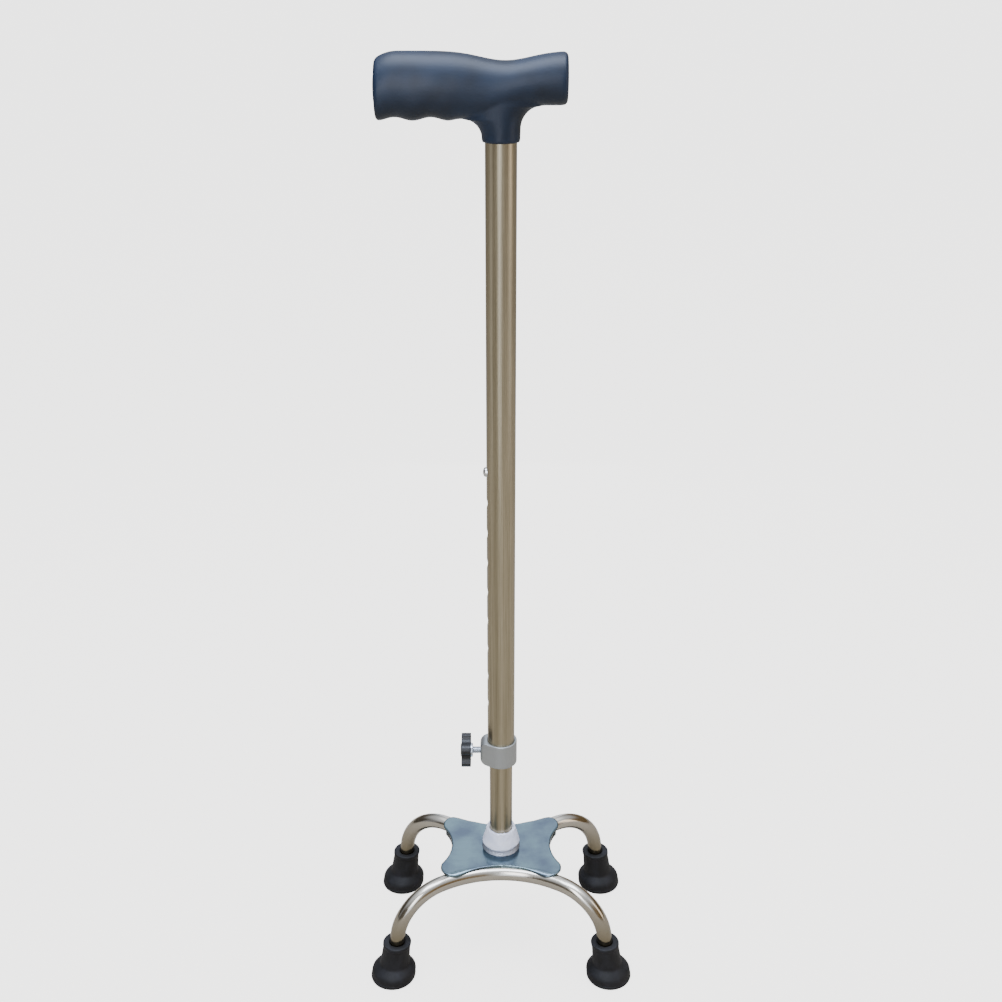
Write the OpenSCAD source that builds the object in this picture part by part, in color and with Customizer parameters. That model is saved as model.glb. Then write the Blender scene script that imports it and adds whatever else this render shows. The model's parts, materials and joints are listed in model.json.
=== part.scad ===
// Quad walking cane: a telescoping shaft with a snap button and a clamp collar,
// a derby grip, and a four-footed base of two bent tubes under a stamped plate.
// Millimetres, +Z up, origin on the floor under the shaft. +X points forwards:
// the grip's short nose is at +X, its long end, the holes and the knob at -X.

/* [Whole cane] */
// Height of the cane at its shortest setting
overall_h = 737; // [660:1:800]
// Height of the base plate's top above the floor
base_h = 89; // [80:1:110]
// Bare length of inner tube between the socket and the collar
inner_show = 67; // [40:1:90]

/* [Tubes] */
// Outside diameter of the outer tube
outer_d = 22.2; // [20:0.1:27]
// Wall of the outer tube
outer_wall = 1.2; // [0.8:0.1:2]
// Wall of the inner tube
inner_wall = 1.2; // [0.8:0.1:2]
// Sliding gap all round between the two tubes
tube_gap = 0.375; // [0.3:0.025:0.6]
// Length of inner tube above the button
inner_above = 24; // [15:1:40]
// Length of the outer tube held inside the grip
tube_in_grip = 35; // [20:1:40]

/* [Height holes] */
// Number of height holes
hole_count = 9; // [5:1:10]
// Distance from one height hole to the next
hole_pitch = 25.4; // [20:0.1:32]
// Diameter of the height holes
hole_d = 8.6; // [7:0.1:11]
// Height of the lowest hole above the outer tube's end
first_hole_up = 55; // [50:1:70]
// Gap all round between the button and a height hole
button_gap = 0.5; // [0.35:0.05:0.8]
// How far the button stands out of the outer tube
button_out = 2.6; // [1.5:0.1:4]
// Width of the slit in the outer tube's end
slit_w = 1.6; // [1:0.1:3]
// Length of the slit above the collar
slit_show = 10; // [4:1:20]

/* [Clamp] */
// Height of the clamp collar
collar_h = 21; // [18:0.5:27]
// Wall of the collar around the outer tube
collar_wall = 2.1; // [1.6:0.1:4]
// Distance from the tube's face to the boss's face
boss_out = 6.1; // [5:0.1:9]
// Half width of the boss's flat front
boss_half_w = 6.5; // [5.5:0.1:8]
// Diameter of the clamp screw
screw_d = 6; // [5:0.1:7]
// Bare length of screw between the boss and the knob
screw_show = 7.8; // [6:0.1:12]
// Length of the pressure pad on the screw's end
pad_l = 2; // [1.5:0.1:3]
// Diameter of the knob across its lobes
knob_d = 28; // [24:0.5:36]
// Thickness of the knob
knob_t = 8; // [7:0.5:12]
// Angle of the knob's lobes
knob_angle = 35; // [0:1:90]

/* [Grip] */
// Height of the grip above the end of its stem
grip_h = 59; // [56:0.5:72]
// Reach of the grip's long end from the shaft
grip_back = 85; // [70:1:105]
// Reach of the grip's nose from the shaft
grip_nose = 45; // [36:1:55]
// Half width of the grip
grip_half_w = 15.2; // [14.5:0.1:19]
// Height of the long end's underside above the stem's end
grip_low = 15.2; // [12:0.1:20]
// Height of the nose's underside above the stem's end
nose_low = 24; // [20:0.5:30]
// Depth of the dip above the shaft
saddle_depth = 6; // [2:0.5:9]
// Wall of the grip's stem around the tube
stem_wall = 2; // [1.5:0.1:4]
// Diameter of the disc in the grip's end
cap_d = 22; // [18:0.5:24]

/* [Base] */
// Diameter of the leg tubes
leg_d = 12.7; // [11:0.1:16]
// Wall of the leg tubes
leg_wall = 1.2; // [0.8:0.1:2]
// Distance from the shaft to a foot along X, on the floor
foot_x = 91.5; // [76:0.5:110]
// Distance from the shaft to a foot along Y
foot_y = 59; // [52:0.5:72]
// Lean of the legs
leg_lean = 7; // [0:0.5:10]
// Angle between a leg tube's two runs and the X axis
leg_splay = 30; // [22:1:34]
// Bare straight leg above the rubber tip
leg_show = 8; // [5:0.5:12]
// Straight run between the two bends of a leg tube
leg_straight = 2.5; // [1:0.5:10]
// Thickness of the base plate
plate_t = 2; // [1.5:0.1:3]
// Distance along X from the shaft to the centre of a plate arm's round tip
arm_x = 40; // [32:0.5:44]
// Radius of the plate arms' round tips
arm_r = 11; // [9:0.5:13]
// Half width of the plate along X at its waist
waist_x = 42.5; // [36:0.5:44]
// Height of the plate's turned-down lips
lip_h = 7; // [4:0.5:12]
// Height of the shaft socket
socket_h = 20; // [14:1:30]

/* [Rubber tips] */
// Height of a rubber tip
tip_h = 36; // [30:0.5:43]
// Diameter of a rubber tip on the floor
tip_d = 37.5; // [32:0.5:44]
// Rubber below the end of the leg tube and its washer
tip_floor = 6; // [4:0.5:9]
// Wall of a rubber tip at its top
tip_wall = 4.6; // [2.5:0.1:5]
// Thickness of the washer in a rubber tip
washer_t = 1.5; // [1:0.1:2.5]

/* [Hidden] */
$fn = 64;
cut = 1; // how far cutting shapes run past a surface

// clearances
seat_gap = 0.05;  // between pieces of one body that seat in each other
run_gap = 0.1;    // between a pin or plug and the hole it moves in
pad_gap = 0.3;    // between the pressure pad and the tube it presses

// tubes
outer_r = outer_d / 2;
bore_r = outer_r - outer_wall;
inner_r = bore_r - tube_gap;
inner_bore_r = inner_r - inner_wall;

// heights
plate_low = base_h - plate_t;
socket_top = base_h + socket_h;
collar_z = socket_top + inner_show;
collar_top = collar_z + collar_h;
collar_lip = 2;
outer_z = collar_z + collar_lip;
button_z = outer_z + first_hole_up + hole_pitch * (hole_count - 1);
inner_top = button_z + inner_above;
grip_z = overall_h - grip_h;
outer_top = grip_z + tube_in_grip;

// clamp
collar_bore_r = outer_r + seat_gap;
collar_r = outer_r + collar_wall;
boss_x = outer_r + boss_out;
clamp_z = collar_z + collar_h / 2;
screw_x = outer_r + pad_gap + pad_l;
knob_x = boss_x + screw_show;
insert_r = screw_d / 2 + 1.6;
insert_flange_t = 1.5;

// button and its leaf spring
button_r = hole_d / 2 - button_gap;
button_hole_r = button_r + run_gap;
button_tip = outer_r + button_out;
leaf_t = 0.8;
leaf_w = inner_bore_r;
leaf_l = 34;
flange_r = button_r + 0.9;
flange_t = 1;
flange_x = sqrt(inner_bore_r * inner_bore_r - flange_r * flange_r) - 0.2;
leaf_x = flange_x - flange_t;
leaf_back = sqrt(inner_bore_r * inner_bore_r - leaf_w * leaf_w / 4) - 0.2;

// grip
stem_r = outer_r + stem_wall;
grip_step = 5;
grip_sides = 28;
egg = 0.12;        // how much narrower the section is at its top
end_round = 3;
end_drop = 5;      // fall of the top over the last stretch of the long end
end_drop_l = 16;
nose_round = 6;
saddle_x = 3;
saddle_l = 24;
swell = 1.8;       // extra half width in the palm
swell_x = -45;
swell_l = 30;
finger_depth = 1.2;
finger_pitch = 24.5;
finger_start = -24;
low_rise_x = -12;  // where the underside starts to rise towards the nose
low_rise_l = 32;
stem_taper = 0.04; // growth of the stem's radius for its height
back_flare = 0.8 * grip_low;
nose_flare = 0.6 * nose_low;
cap_t = 2.6;
cap_seat = 2.2;    // depth of the end cap's seat
cap_z = grip_z + (grip_h - end_drop + grip_low) / 2;

// leg tubes: a bow in plan, then a drop to each foot
leg_r = leg_d / 2;
leg_z = plate_low - leg_r;
leg_end_z = tip_floor + washer_t;
knee_x = foot_x - leg_z * tan(leg_lean);
knee_turn = acos(cos(leg_splay) * sin(leg_lean));
knee_t = (leg_z - tip_h - leg_show) / cos(leg_lean);
knee_r = knee_t / tan(knee_turn / 2);
leg_run = knee_x / cos(leg_splay);
bow_t = leg_run - knee_t - leg_straight;
bow_r = bow_t / tan(leg_splay);
bow_corner_y = foot_y - knee_x * tan(leg_splay);
bow_y = bow_corner_y + bow_r / cos(leg_splay);
bow_steps = 6;
knee_steps = 8;
leg_sides = 20;

// shaft socket and weld beads
socket_foot_r = inner_r + 2.2;
socket_belly_r = inner_r + 6.4;
socket_rim_r = inner_r + 2.5;
bead = 3;

// base plate
waist_y = leg_y(0) + 1;
arm_inset = 6.8; // from a leg tube's centre line to an arm tip's centre
arm_y = leg_y(arm_x) - arm_inset;

// Y of a leg tube's centre line at x
function leg_y(x) = x < bow_r * sin(leg_splay)
    ? bow_y - sqrt(bow_r * bow_r - x * x)
    : foot_y - (knee_x - x) * tan(leg_splay);

// ---------------------------------------------------------------- helpers

// A tube or, with no wall, a rod along +Z
module pipe(r, h, wall = 0) {
    difference() {
        cylinder(r = r, h = h);
        if (wall > 0)
            translate([0, 0, -cut])
                cylinder(r = r - wall, h = h + 2 * cut);
    }
}

// A cylinder along -X that starts at x = -start, at height z
module rod_x(r, start, length, z) {
    translate([-start, 0, z])
        rotate([0, -90, 0])
            cylinder(r = r, h = length);
}

// Points of an arc about c, from angle a0 to a1
function arc(c, r, a0, a1, n = 12) =
    [for (k = [0 : n]) let(a = a0 + (a1 - a0) * k / n) c + r * [cos(a), sin(a)]];

function reversed(list) = [for (k = [len(list) - 1 : -1 : 0]) list[k]];

// v turned by an angle about a unit axis
function turned(v, axis, angle) =
    v * cos(angle) + cross(axis, v) * sin(angle)
    + axis * (axis * v) * (1 - cos(angle));

// Triangles between each ring of n points and the next
function strip(rings, n, first = 0, flip = false) = [
    for (i = [0 : rings - 2])
        for (k = [0 : n - 1])
            let(a = first + i * n + k)
            let(b = first + i * n + (k + 1) % n)
            each flip
                ? [[a, b, b + n], [a, b + n, a + n]]
                : [[b, a, b + n], [b + n, a, a + n]]
];

// ---------------------------------------------------------------- grip

function smooth(t) = let(u = max(0, min(1, t))) u * u * (3 - 2 * u);

// How far a rounded end pulls the section in, at distance d from the end
function round_in(d, r) = d >= r ? 0 : r - sqrt(r * r - (r - d) * (r - d));

function grip_inset(x) =
    max(round_in(x + grip_back, end_round), round_in(grip_nose - x, nose_round));

function grip_top_z(x) =
    grip_h - saddle_depth * exp(-pow((x - saddle_x) / saddle_l, 2))
    - end_drop * pow(max(0, 1 - (x + grip_back) / end_drop_l), 2) - grip_inset(x);

// Three shallow finger hollows fade out towards the stem
function finger_z(x) =
    finger_depth * cos(360 * (x - 2 * finger_start) / finger_pitch)
    * smooth((finger_start - x) / (finger_pitch / 2));

function grip_low_z(x) =
    grip_low + (nose_low - grip_low) * smooth((x - low_rise_x) / low_rise_l)
    + finger_z(x) + grip_inset(x);

function grip_w(x) =
    grip_half_w + swell * exp(-pow((x - swell_x) / swell_l, 2)) - grip_inset(x);

// One egg-shaped section, narrow end up
function grip_ring(x) =
    let(mid = (grip_top_z(x) + grip_low_z(x)) / 2)
    let(half = (grip_top_z(x) - grip_low_z(x)) / 2)
    [
        for (k = [0 : grip_sides - 1])
            let(a = 360 * k / grip_sides)
            [x, grip_w(x) * cos(a) * (1 - egg * sin(a)), mid + half * sin(a)]
    ];

// Stations along the grip, close together where its ends are round
function end_steps(r) = [for (a = [90 : -22.5 : 22.5]) r * (1 - sin(a))];

// A closed solid through a list of rings, its first ring at -X or at the bottom
module through_rings(all) {
    rings = len(all);
    low_face = [for (k = [0 : grip_sides - 1]) k];
    high_face = [for (k = low_face) (rings - 1) * grip_sides + k];
    polyhedron(
        points = [for (ring = all) each ring],
        faces = concat(strip(rings, grip_sides), [low_face, reversed(high_face)])
    );
}

module grip_body() {
    inner_x = [
        for (x = [-grip_back + end_round : grip_step : grip_nose - nose_round - 2]) x
    ];
    stations = concat(
        [for (d = end_steps(end_round)) d - grip_back], inner_x,
        [grip_nose - nose_round],
        reversed([for (d = end_steps(nose_round)) grip_nose - d])
    );
    through_rings([for (x = stations) grip_ring(x)]);
}

// How far a flare of radius r under an edge at height low stands out at height h
function flare(h, low, r) =
    let(d = max(0, min(r, h - low + r)))
    r - sqrt(r * r - d * d);

// One section of the stem: it flares to the long end and to the nose
function stem_ring(h) = [
    for (k = [0 : grip_sides - 1])
        let(a = 360 * k / grip_sides)
        let(to_nose = flare(h, nose_low, nose_flare))
        let(to_back = flare(h, grip_low, back_flare))
        let(r = stem_r + stem_taper * h)
        [(r + (cos(a) > 0 ? to_nose : to_back)) * cos(a), r * sin(a), h]
];

module grip_stem() {
    steps = 10;
    first = grip_low - back_flare;
    heights = concat(
        [0], [for (k = [0 : steps]) first + (nose_low - first) * k / steps],
        [nose_low + end_round]
    );
    through_rings([for (h = heights) stem_ring(h)]);
}

module handle_grip() {
    color("#2b3a4c")
        translate([0, 0, grip_z])
            difference() {
                union() {
                    grip_body();
                    grip_stem();
                }
                translate([0, 0, -cut])
                    cylinder(r = outer_r + seat_gap, h = tube_in_grip + cut);
                translate([-grip_back - cut, 0, cap_z - grip_z])
                    rotate([0, 90, 0])
                        cylinder(r = cap_d / 2 + seat_gap, h = cap_seat + cut);
            }
}

module handle_end_cap() {
    color("#20262e")
        translate([cap_seat - cap_t - grip_back, 0, cap_z])
            rotate([0, 90, 0])
                cylinder(r = cap_d / 2, h = cap_t);
}

// ---------------------------------------------------------------- shaft

module outer_tube() {
    color("#b9b3a6")
        difference() {
            translate([0, 0, outer_z])
                pipe(outer_r, outer_top - outer_z, outer_wall);
            for (k = [0 : hole_count - 1])
                rod_x(hole_d / 2, bore_r / 2, outer_r, button_z - k * hole_pitch);
            translate([-outer_r - cut, -slit_w / 2, outer_z - cut])
                cube([outer_r, slit_w, collar_top + slit_show - outer_z + cut]);
        }
}

module inner_tube() {
    color("#a59f90")
        difference() {
            translate([0, 0, plate_low])
                pipe(inner_r, inner_top - plate_low, inner_wall);
            rod_x(button_hole_r, inner_bore_r / 2, inner_r, button_z);
        }
}

// Nylon plug in the inner tube's top end, which guides it in the outer tube
module glide_bush() {
    color("#e6e4dc")
        translate([0, 0, inner_top])
            difference() {
                union() {
                    cylinder(r = bore_r - run_gap, h = 3);
                    translate([0, 0, -10])
                        cylinder(r = inner_bore_r - seat_gap, h = 10);
                }
                translate([0, 0, -10 - cut])
                    cylinder(r = inner_bore_r - 2.5, h = 13 + 2 * cut);
            }
}

module snap_button() {
    dome_r = button_r * 1.25;
    dome_x = button_tip - dome_r;
    color("#d9dadc") {
        intersection() {
            rod_x(button_r, flange_x, button_tip - flange_x, button_z);
            translate([-dome_x, 0, button_z])
                sphere(r = dome_r);
        }
        rod_x(button_r, flange_x, dome_x - flange_x, button_z);
        rod_x(flange_r, leaf_x, flange_t, button_z);
    }
}

// U-shaped leaf spring: one leg behind the button, the other on the far wall
module button_spring() {
    bend_r = (leaf_x + leaf_back) / 2;
    bend = [leaf_back - bend_r, button_z - leaf_l];
    top_z = button_z + button_r;
    color("#8f9499")
        translate([0, leaf_w / 2, 0])
            rotate([90, 0, 0])
                linear_extrude(height = leaf_w)
                    polygon(concat(
                        [[-leaf_x, top_z]],
                        arc(bend, bend_r, 180, 360),
                        [[leaf_back, top_z], [leaf_back - leaf_t, top_z]],
                        arc(bend, bend_r - leaf_t, 360, 180),
                        [[leaf_t - leaf_x, top_z]]
                    ));
}

// ---------------------------------------------------------------- clamp

// Plan of the collar: a ring that runs out to a narrower flat front
module collar_plan() {
    corner_r = 2.5;
    corner = [corner_r - boss_x, boss_half_w - corner_r];
    side = 180 - atan2(corner[1], -corner[0])
        - acos((collar_r - corner_r) / norm(corner));
    polygon(concat(
        arc([0, 0], collar_r, -side, side, 40),
        arc(corner, corner_r, side, 180, 4),
        arc([corner[0], -corner[1]], corner_r, 180, 360 - side, 4)
    ));
}

// Side view of the collar, its front corners rounded
module collar_side() {
    round_r = 5;
    front = round_r - boss_x;
    polygon(concat(
        [[collar_r + 1, 0], [collar_r + 1, collar_h]],
        arc([front, collar_h - round_r], round_r, 90, 180, 8),
        arc([front, round_r], round_r, 180, 270, 8)
    ));
}

module clamp_collar() {
    color("#9ea0a2")
        difference() {
            intersection() {
                translate([0, 0, collar_z])
                    linear_extrude(height = collar_h)
                        collar_plan();
                translate([0, 2 * collar_r, collar_z])
                    rotate([90, 0, 0])
                        linear_extrude(height = 4 * collar_r)
                            collar_side();
            }
            translate([0, 0, outer_z])
                cylinder(r = collar_bore_r, h = collar_h);
            translate([0, 0, collar_z - cut])
                cylinder(r = bore_r, h = collar_h);
            rod_x(screw_d / 2 + seat_gap, inner_r, boss_x, clamp_z);
        }
}

module clamp_pad() {
    color("#efece2")
        rod_x(screw_d / 2 - 0.1, outer_r + pad_gap, pad_l, clamp_z);
}

module knob_screw() {
    color("#c9ccd0")
        rod_x(screw_d / 2, screw_x, knob_x + knob_t - 2 - screw_x, clamp_z);
}

// Zinc insert moulded into the knob, with a flange on the knob's inner face
module knob_insert() {
    color("#b8bcc2")
        difference() {
            union() {
                rod_x(insert_r + 1.2, knob_x - insert_flange_t, insert_flange_t, clamp_z);
                rod_x(insert_r, knob_x - cut, knob_t - 2 + cut, clamp_z);
            }
            rod_x(screw_d / 2 + seat_gap, knob_x - 5, knob_t + 5, clamp_z);
        }
}

// Star with four round lobes and round hollows between them
module knob_plan() {
    lobe_r = 0.17 * knob_d;
    lobe_at = knob_d / 2 - lobe_r;
    hollow_r = 0.2 * knob_d;
    hollow_at = 0.475 * knob_d;
    difference() {
        union() {
            circle(r = 0.36 * knob_d);
            for (a = [0 : 90 : 270])
                rotate([0, 0, a])
                    translate([lobe_at, 0])
                        circle(r = lobe_r);
        }
        for (a = [45 : 90 : 315])
            rotate([0, 0, a])
                translate([hollow_at, 0])
                    circle(r = hollow_r);
    }
}

module knob() {
    color("#1c1c1f")
        difference() {
            translate([-knob_x, 0, clamp_z])
                rotate([0, -90, 0])
                    rotate([0, 0, knob_angle])
                        linear_extrude(height = knob_t)
                            knob_plan();
            rod_x(insert_r + seat_gap, knob_x - cut, knob_t - 2 + seat_gap + cut, clamp_z);
        }
}

// ---------------------------------------------------------------- base

// Welded ferrule that holds the inner tube, widest a third of the way up
module shaft_socket() {
    bore = inner_r + seat_gap;
    color("#c3cbe0")
        translate([0, 0, base_h])
            rotate_extrude()
                polygon([
                    [bore, 0], [socket_foot_r, 0], [socket_belly_r, socket_h * 0.3],
                    [socket_rim_r, socket_h], [bore, socket_h]
                ]);
}

// Bead in the groove between the socket and the plate
module socket_weld() {
    color("#b4bccf")
        translate([0, 0, base_h])
            rotate_extrude()
                polygon([
                    [socket_foot_r, 0], [socket_belly_r + bead / 5, 0],
                    [(socket_foot_r + socket_belly_r) / 2, socket_h * 0.15]
                ]);
}

// Bead between the inner tube's end and the plate's underside
module shaft_weld() {
    color("#8d8f94")
        translate([0, 0, plate_low])
            rotate_extrude()
                polygon([[inner_bore_r, 0], [inner_r + bead, 0], [inner_r, -0.75 * bead]]);
}

// Radius of the round waist that touches both of a side's round arm tips
function waist_r(w, along, across) =
    (pow(w - along, 2) + across * across - arm_r * arm_r)
    / (2 * (arm_r - (w - along)));

// A quarter of the plate's outline, from the +X waist to the +Y waist
function plate_quarter() =
    let(side_r = waist_r(waist_x, arm_x, arm_y))
    let(end_r = waist_r(waist_y, arm_y, arm_x))
    let(side_c = [waist_x + side_r, 0])
    let(end_c = [0, waist_y + end_r])
    let(side_a = atan2(arm_y, side_c[0] - arm_x))
    let(end_a = atan2(end_c[1] - arm_y, arm_x))
    concat(
        arc(side_c, side_r, 180, 180 - side_a),
        arc([arm_x, arm_y], arm_r, -side_a, 180 - end_a),
        arc(end_c, end_r, -end_a, -90)
    );

module plate_plan() {
    quarter = plate_quarter();
    half = concat(quarter, reversed([for (p = quarter) [-p[0], p[1]]]));
    polygon(concat(half, reversed([for (p = half) [p[0], -p[1]]])));
}

// Turned-down lip along one of the plate's waists
module plate_lip() {
    edge_step = 0.2;
    near_r = waist_r(waist_x, arm_x, arm_y) + edge_step;
    centre = [waist_x + near_r - edge_step, 0];
    reach = asin((arm_y - 6) / near_r);
    translate([0, 0, base_h - lip_h])
        linear_extrude(height = lip_h - plate_t / 2)
            polygon(concat(
                arc(centre, near_r, 180 - reach, 180 + reach),
                arc(centre, near_r + plate_t, 180 + reach, 180 - reach)
            ));
}

module base_plate() {
    color("#7f8d9c") {
        difference() {
            translate([0, 0, plate_low])
                linear_extrude(height = plate_t)
                    plate_plan();
            translate([0, 0, plate_low - cut])
                cylinder(r = inner_r + seat_gap, h = plate_t + 2 * cut);
        }
        for (s = [0, 1])
            mirror([s, 0, 0])
                plate_lip();
    }
}

// A place on a leg tube: [centre, two directions across the tube]. From the
// shaft's side the tube bows in plan, runs straight, turns down at the knee and
// drops to the foot.
function leg_frames() =
    let(run = [cos(leg_splay), sin(leg_splay), 0])
    let(out = [-sin(leg_splay), cos(leg_splay), 0])
    let(drop = [sin(leg_lean), 0, -cos(leg_lean)])
    let(axis = cross(run, drop) / sin(knee_turn))
    let(knee = [knee_x, foot_y, leg_z])
    let(to_centre = cross(axis, run) * knee_r)
    let(centre = knee - knee_t * run + to_centre)
    let(drop_l = (knee[2] - leg_end_z) / cos(leg_lean))
    concat(
        [
            for (k = [0 : bow_steps])
                let(a = leg_splay * k / bow_steps)
                [[bow_r * sin(a), bow_y - bow_r * cos(a), leg_z],
                 [-sin(a), cos(a), 0], [0, 0, 1]]
        ],
        [
            for (k = [0 : knee_steps])
                let(a = knee_turn * k / knee_steps)
                [centre - turned(to_centre, axis, a), turned(out, axis, a),
                 turned([0, 0, 1], axis, a)]
        ],
        [[knee + drop_l * drop, turned(out, axis, knee_turn),
          turned([0, 0, 1], axis, knee_turn)]]
    );

function leg_ring(frame, r) = [
    for (k = [0 : leg_sides - 1])
        let(a = 360 * k / leg_sides)
        frame[0] + r * (cos(a) * frame[1] + sin(a) * frame[2])
];

function mirrored_x(frame) = [for (v = frame) [-v[0], v[1], v[2]]];

module leg_tube() {
    half = leg_frames();
    other = [for (k = [len(half) - 1 : -1 : 1]) mirrored_x(half[k])];
    frames = concat(other, half);
    rings = len(frames);
    n = leg_sides;
    inside = rings * n;
    last = inside - n;
    ends = [
        for (k = [0 : n - 1])
            let(j = (k + 1) % n)
            each [
                [k, j, inside + j], [k, inside + j, inside + k],
                [last + j, last + k, inside + last + k],
                [last + j, inside + last + k, inside + last + j]
            ]
    ];
    color("#b4b2ad")
        polyhedron(
            points = concat(
                [for (f = frames) each leg_ring(f, leg_r)],
                [for (f = frames) each leg_ring(f, leg_r - leg_wall)]
            ),
            faces = concat(strip(rings, n), strip(rings, n, inside, true), ends)
        );
}

module left_leg_tube() {
    leg_tube();
}

module right_leg_tube() {
    mirror([0, 1, 0])
        leg_tube();
}

// Fillet beads between the leg tubes and the plate, on the shaft's side
module leg_welds() {
    weld_angle = 7;
    color("#85878c")
        for (side = [0, 1])
            mirror([0, side, 0])
                for (a = [-weld_angle * 2.6, weld_angle * 1.6])
                    translate([0, bow_y, leg_z])
                        rotate([0, 0, a - 90])
                            rotate_extrude(angle = weld_angle, $fn = 128)
                                difference() {
                                    polygon([
                                        [bow_r + leg_r / 3, leg_r],
                                        [bow_r + leg_r + bead, leg_r],
                                        [bow_r + leg_r, leg_r - 1.5 * bead],
                                        [bow_r + leg_r / 3, leg_r - 1.5 * bead]
                                    ]);
                                    translate([bow_r, 0])
                                        circle(r = leg_r);
                                }
}

// ---------------------------------------------------------------- feet

// The frame of a leg's end: +Z up along the leg, origin on the floor
module at_foot(sx, sy) {
    translate([sx * foot_x, sy * foot_y, 0])
        rotate([0, -sx * leg_lean, 0])
            children();
}

module rubber_tip(sx, sy) {
    neck_r = leg_r + tip_wall;
    base_r = tip_d / 2;
    lip_t = 3;
    edge = 1;
    flange_z = 8;
    shoulder_z = 10.5;
    skirt_z = 15;
    along = tip_h / cos(leg_lean);
    color("#232326")
        difference() {
            union() {
                translate([sx * foot_x, sy * foot_y, 0])
                    rotate_extrude()
                        polygon([
                            [0, 0], [base_r - edge, 0], [base_r, edge],
                            [base_r, flange_z], [base_r - 1.5 * edge, shoulder_z],
                            [neck_r + 2.5 * edge, skirt_z], [0, skirt_z]
                        ]);
                at_foot(sx, sy) {
                    translate([0, 0, skirt_z / 2])
                        cylinder(r1 = neck_r + 2 * edge, r2 = neck_r, h = along - skirt_z / 2);
                    translate([0, 0, along - lip_t])
                        cylinder(r = neck_r + edge, h = lip_t);
                }
            }
            at_foot(sx, sy)
                translate([0, 0, tip_floor / cos(leg_lean)])
                    cylinder(r = leg_r + seat_gap, h = along);
        }
}

module tip_washer(sx, sy) {
    at_foot(sx, sy)
        translate([0, 0, tip_floor / cos(leg_lean)])
            difference() {
                cylinder(r = leg_r, h = washer_t - seat_gap);
                cylinder(r = leg_r / 3, h = 4 * washer_t, center = true);
            }
}

module front_left_tip() {
    rubber_tip(1, 1);
}

module front_right_tip() {
    rubber_tip(1, -1);
}

module rear_left_tip() {
    rubber_tip(-1, 1);
}

module rear_right_tip() {
    rubber_tip(-1, -1);
}

module tip_washers() {
    color("#9a9ca0")
        for (sx = [-1, 1])
            for (sy = [-1, 1])
                tip_washer(sx, sy);
}

handle_grip();
handle_end_cap();
outer_tube();
clamp_collar();
knob();
knob_insert();
knob_screw();
clamp_pad();
snap_button();
button_spring();
inner_tube();
glide_bush();
shaft_socket();
socket_weld();
shaft_weld();
base_plate();
left_leg_tube();
right_leg_tube();
leg_welds();
front_left_tip();
front_right_tip();
rear_left_tip();
rear_right_tip();
tip_washers();
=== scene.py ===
"""Looks for a quad walking cane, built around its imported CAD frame. Metres, +Z up."""

import json
import math

import bmesh
import bpy
from bpy.props import FloatProperty, IntProperty, PointerProperty, StringProperty
from mathutils import Matrix, Vector, noise


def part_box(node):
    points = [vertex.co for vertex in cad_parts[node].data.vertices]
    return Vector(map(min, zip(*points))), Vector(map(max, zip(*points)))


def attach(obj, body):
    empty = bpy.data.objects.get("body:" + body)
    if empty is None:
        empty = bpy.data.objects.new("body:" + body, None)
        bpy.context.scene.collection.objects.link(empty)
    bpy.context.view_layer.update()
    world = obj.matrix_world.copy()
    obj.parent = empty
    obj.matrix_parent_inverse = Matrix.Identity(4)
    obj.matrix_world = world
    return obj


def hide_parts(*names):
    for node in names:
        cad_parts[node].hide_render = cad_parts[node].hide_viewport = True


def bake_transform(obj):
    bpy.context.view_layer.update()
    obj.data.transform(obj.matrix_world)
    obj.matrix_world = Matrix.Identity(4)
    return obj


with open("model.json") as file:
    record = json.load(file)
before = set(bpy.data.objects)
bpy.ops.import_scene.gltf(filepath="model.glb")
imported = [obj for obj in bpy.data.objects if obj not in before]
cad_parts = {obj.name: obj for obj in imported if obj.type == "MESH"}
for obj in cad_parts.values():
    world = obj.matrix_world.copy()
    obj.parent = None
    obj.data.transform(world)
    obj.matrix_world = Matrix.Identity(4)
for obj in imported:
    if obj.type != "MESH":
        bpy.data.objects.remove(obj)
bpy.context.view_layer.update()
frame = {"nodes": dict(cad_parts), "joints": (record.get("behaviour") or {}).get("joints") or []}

bl_info = {
    "name": "Quad Walking Cane",
    "version": (1, 0, 0),
    "blender": (4, 5, 0),
    "location": "3D View > Sidebar > Cane",
    "description": "Builds the visible pieces and finishes of a quad walking cane",
    "category": "Add Mesh",
}

MM = 0.001
SHARP = 35  # degrees from which an edge of a turned or cut piece stays sharp
SHARP_COARSE = 50  # the same for threads, rough castings and pressings
SHARP_MELTED = 60  # the same for a piece run into one skin


def joint_range(name):
    """The travel of a slide joint, in metres."""
    return [j for j in frame["joints"] if j["name"] == name][0]["range_m"][1]


# ---- settings


def length_property(label, words, millimetres):
    """A length in metres, whose default is given in millimetres."""
    return FloatProperty(
        name=label, description=words, default=millimetres * MM, unit="LENGTH", precision=5)


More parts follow.
